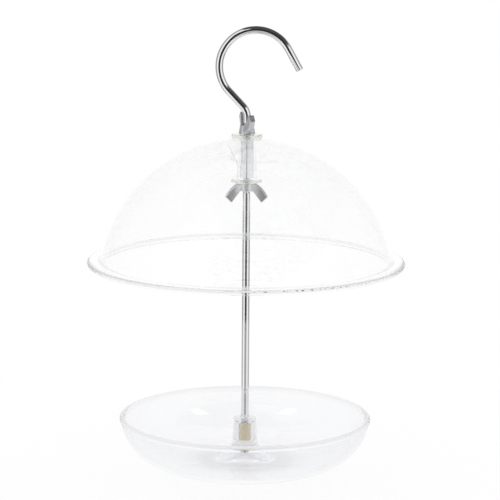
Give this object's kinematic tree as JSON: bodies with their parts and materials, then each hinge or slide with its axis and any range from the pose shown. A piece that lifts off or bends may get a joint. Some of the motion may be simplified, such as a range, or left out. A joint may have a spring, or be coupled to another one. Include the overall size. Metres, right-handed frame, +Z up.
{
  "type": "hanging bird feeder",
  "caption": "Hanging bird feeder: a clear dome clamped between wing nuts on a bright hooked stem, above a clear dish that screws onto the stem's lower end.",
  "frame": {"origin": "middle of the dish's flat base, on the stem's axis", "axes": "+Z up along the stem, +X towards the hook's open side, -Y towards the viewer"},
  "size_m": [0.25, 0.25, 0.3505],
  "materials": {
    "bright_steel": "bright chrome plate",
    "plated_steel": "bright zinc plate",
    "cast_zinc": "satin die-cast zinc",
    "washer_plastic": "clear plastic with a faint olive tint at its edge",
    "dome_plastic": "polished clear plastic",
    "dish_plastic": "polished clear plastic, faintly cool grey",
    "brass": "bright turned brass"
  },
  "bodies": {
    "stem": {"hook": "bright_steel", "coupling_nut": "plated_steel", "rod": "bright_steel"},
    "upper_washer": {"upper_washer": "washer_plastic"},
    "upper_wing_nut": {"upper_wing_nut": "cast_zinc"},
    "lower_washer": {"lower_washer": "washer_plastic"},
    "lower_wing_nut": {"lower_wing_nut": "cast_zinc"},
    "dome": {"dome": "dome_plastic"},
    "insert": {"threaded_insert": "brass"},
    "dish": {"dish": "dish_plastic"}
  },
  "joints": [
    {"name": "upper_washer_lift", "type": "slide", "parent": "stem", "child": "upper_washer", "axis": [0, 0, 1], "range_m": [0, 0.002]},
    {"name": "upper_nut_spin", "type": "hinge", "parent": "upper_washer", "child": "upper_wing_nut", "pos_m": [0, 0, 0.2659], "axis": [0, 0, 1], "range_deg": [0, 720.2]},
    {"name": "lower_washer_drop", "type": "slide", "parent": "stem", "child": "lower_washer", "axis": [0, 0, 1], "range_m": [-0.002, 0]},
    {"name": "lower_nut_spin", "type": "hinge", "parent": "lower_washer", "child": "lower_wing_nut", "pos_m": [0, 0, 0.2275], "axis": [0, 0, 1], "range_deg": [-720.2, 0]},
    {"name": "dome_turn", "type": "hinge", "parent": "lower_washer", "child": "dome", "pos_m": [0, 0, 0.2301], "axis": [0, 0, 1], "continuous": true},
    {"name": "insert_drop", "type": "slide", "parent": "stem", "child": "insert", "axis": [0, 0, 1], "range_m": [-0.01201, 0]},
    {"name": "dish_unscrew", "type": "hinge", "parent": "insert", "child": "dish", "pos_m": [0, 0, 0.0191], "axis": [0, 0, 1], "range_deg": [-4320, 0]}
  ],
  "couplings": [
    {"joint": "upper_nut_spin", "follows": "upper_washer_lift", "rad_per_m": 6283.2},
    {"joint": "lower_nut_spin", "follows": "lower_washer_drop", "rad_per_m": 6283.2},
    {"joint": "insert_drop", "follows": "dish_unscrew", "m_per_rad": 0.00015915}
  ]
}
